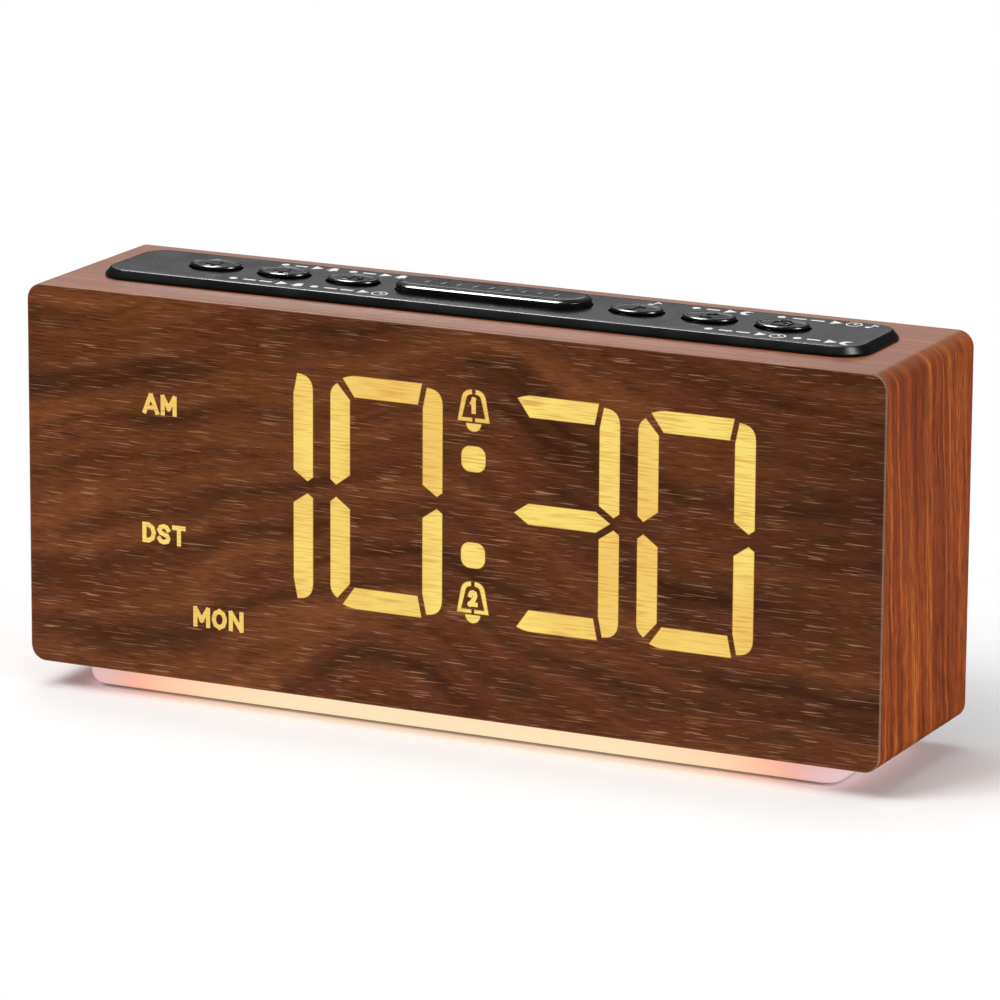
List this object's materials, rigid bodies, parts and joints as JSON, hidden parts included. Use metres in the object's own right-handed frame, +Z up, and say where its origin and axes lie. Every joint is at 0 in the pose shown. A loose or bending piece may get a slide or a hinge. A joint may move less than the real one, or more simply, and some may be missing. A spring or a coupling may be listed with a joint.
{
  "type": "digital alarm clock",
  "caption": "Wooden digital alarm clock: veneered cabinet with a shine-through display, a top panel with buttons and a snooze bar, a rear cover and a night-light base.",
  "frame": {"origin": "middle of the footprint, on the surface that the feet rest on", "axes": "+Z up, the display faces -Y, +X to the right of someone who reads it"},
  "size_m": [0.2, 0.048, 0.0941],
  "materials": {
    "wood_wrap": "satin orange-brown wood-grain wrap over fibreboard",
    "walnut_veneer": "satin dark walnut veneer with fine horizontal grain",
    "lit_diffuser": "translucent plastic, lit warm yellow from behind",
    "white_plastic": "moulded white plastic",
    "circuit_board": "green solder mask",
    "steel": "zinc-plated steel",
    "black_abs": "fine-textured black plastic",
    "panel_abs": "satin dark grey plastic",
    "button_gloss": "polished black plastic",
    "speaker": "paper cone in a pressed frame",
    "switch": "pressed steel cover",
    "ribbon": "grey flat cable",
    "lead": "soft insulated lead",
    "milky_diffuser": "milky translucent plastic, lit from inside",
    "foot_rubber": "soft dark rubber"
  },
  "bodies": {
    "case": {"cabinet_shell": "wood_wrap", "front_veneer": "walnut_veneer", "display_diffuser": "lit_diffuser", "reflector_housing": "white_plastic", "display_board": "circuit_board", "display_screw_1": "steel", "display_screw_2": "steel", "display_screw_3": "steel", "display_screw_4": "steel", "rear_cover": "black_abs", "rear_screw_1": "steel", "rear_screw_2": "steel", "rear_screw_3": "steel", "rear_screw_4": "steel", "coin_cell": "steel", "battery_contact": "steel", "speaker": "speaker", "power_jack": "black_abs", "main_board": "circuit_board", "main_board_screw_1": "steel", "main_board_screw_2": "steel", "main_board_screw_3": "steel", "main_board_screw_4": "steel", "control_panel": "panel_abs", "control_board": "circuit_board", "tact_switch_1": "switch", "tact_switch_2": "switch", "tact_switch_3": "switch", "tact_switch_4": "switch", "tact_switch_5": "switch", "tact_switch_6": "switch", "tact_switch_7": "switch", "control_board_screw_1": "steel", "control_board_screw_2": "steel", "control_board_screw_3": "steel", "control_board_screw_4": "steel", "display_ribbon": "ribbon", "control_ribbon": "ribbon", "night_light_lead": "lead", "speaker_lead": "lead", "base_diffuser": "milky_diffuser", "night_light_board": "circuit_board", "base_screw_1": "steel", "base_screw_2": "steel", "base_screw_3": "steel", "base_screw_4": "steel", "foot_1": "foot_rubber", "foot_2": "foot_rubber", "foot_3": "foot_rubber", "foot_4": "foot_rubber"},
    "button_1": {"button_1": "button_gloss"},
    "button_2": {"button_2": "button_gloss"},
    "button_3": {"button_3": "button_gloss"},
    "button_4": {"button_4": "button_gloss"},
    "button_5": {"button_5": "button_gloss"},
    "button_6": {"button_6": "button_gloss"},
    "snooze_bar": {"snooze_bar": "button_gloss"},
    "battery_door": {"battery_door": "black_abs", "battery_door_screw": "steel"}
  },
  "joints": [
    {"name": "button_1_press", "type": "slide", "parent": "case", "child": "button_1", "axis": [0, 0, -1], "range_m": [0, 0.0008], "stiffness_N_per_m": 600},
    {"name": "button_2_press", "type": "slide", "parent": "case", "child": "button_2", "axis": [0, 0, -1], "range_m": [0, 0.0008], "stiffness_N_per_m": 600},
    {"name": "button_3_press", "type": "slide", "parent": "case", "child": "button_3", "axis": [0, 0, -1], "range_m": [0, 0.0008], "stiffness_N_per_m": 600},
    {"name": "button_4_press", "type": "slide", "parent": "case", "child": "button_4", "axis": [0, 0, -1], "range_m": [0, 0.0008], "stiffness_N_per_m": 600},
    {"name": "button_5_press", "type": "slide", "parent": "case", "child": "button_5", "axis": [0, 0, -1], "range_m": [0, 0.0008], "stiffness_N_per_m": 600},
    {"name": "button_6_press", "type": "slide", "parent": "case", "child": "button_6", "axis": [0, 0, -1], "range_m": [0, 0.0008], "stiffness_N_per_m": 600},
    {"name": "snooze_press", "type": "slide", "parent": "case", "child": "snooze_bar", "axis": [0, 0, -1], "range_m": [0, 0.0008], "stiffness_N_per_m": 600},
    {"name": "battery_door_lift", "type": "slide", "parent": "case", "child": "battery_door", "axis": [0, 1, 0], "range_m": [0, 0.04]}
  ]
}
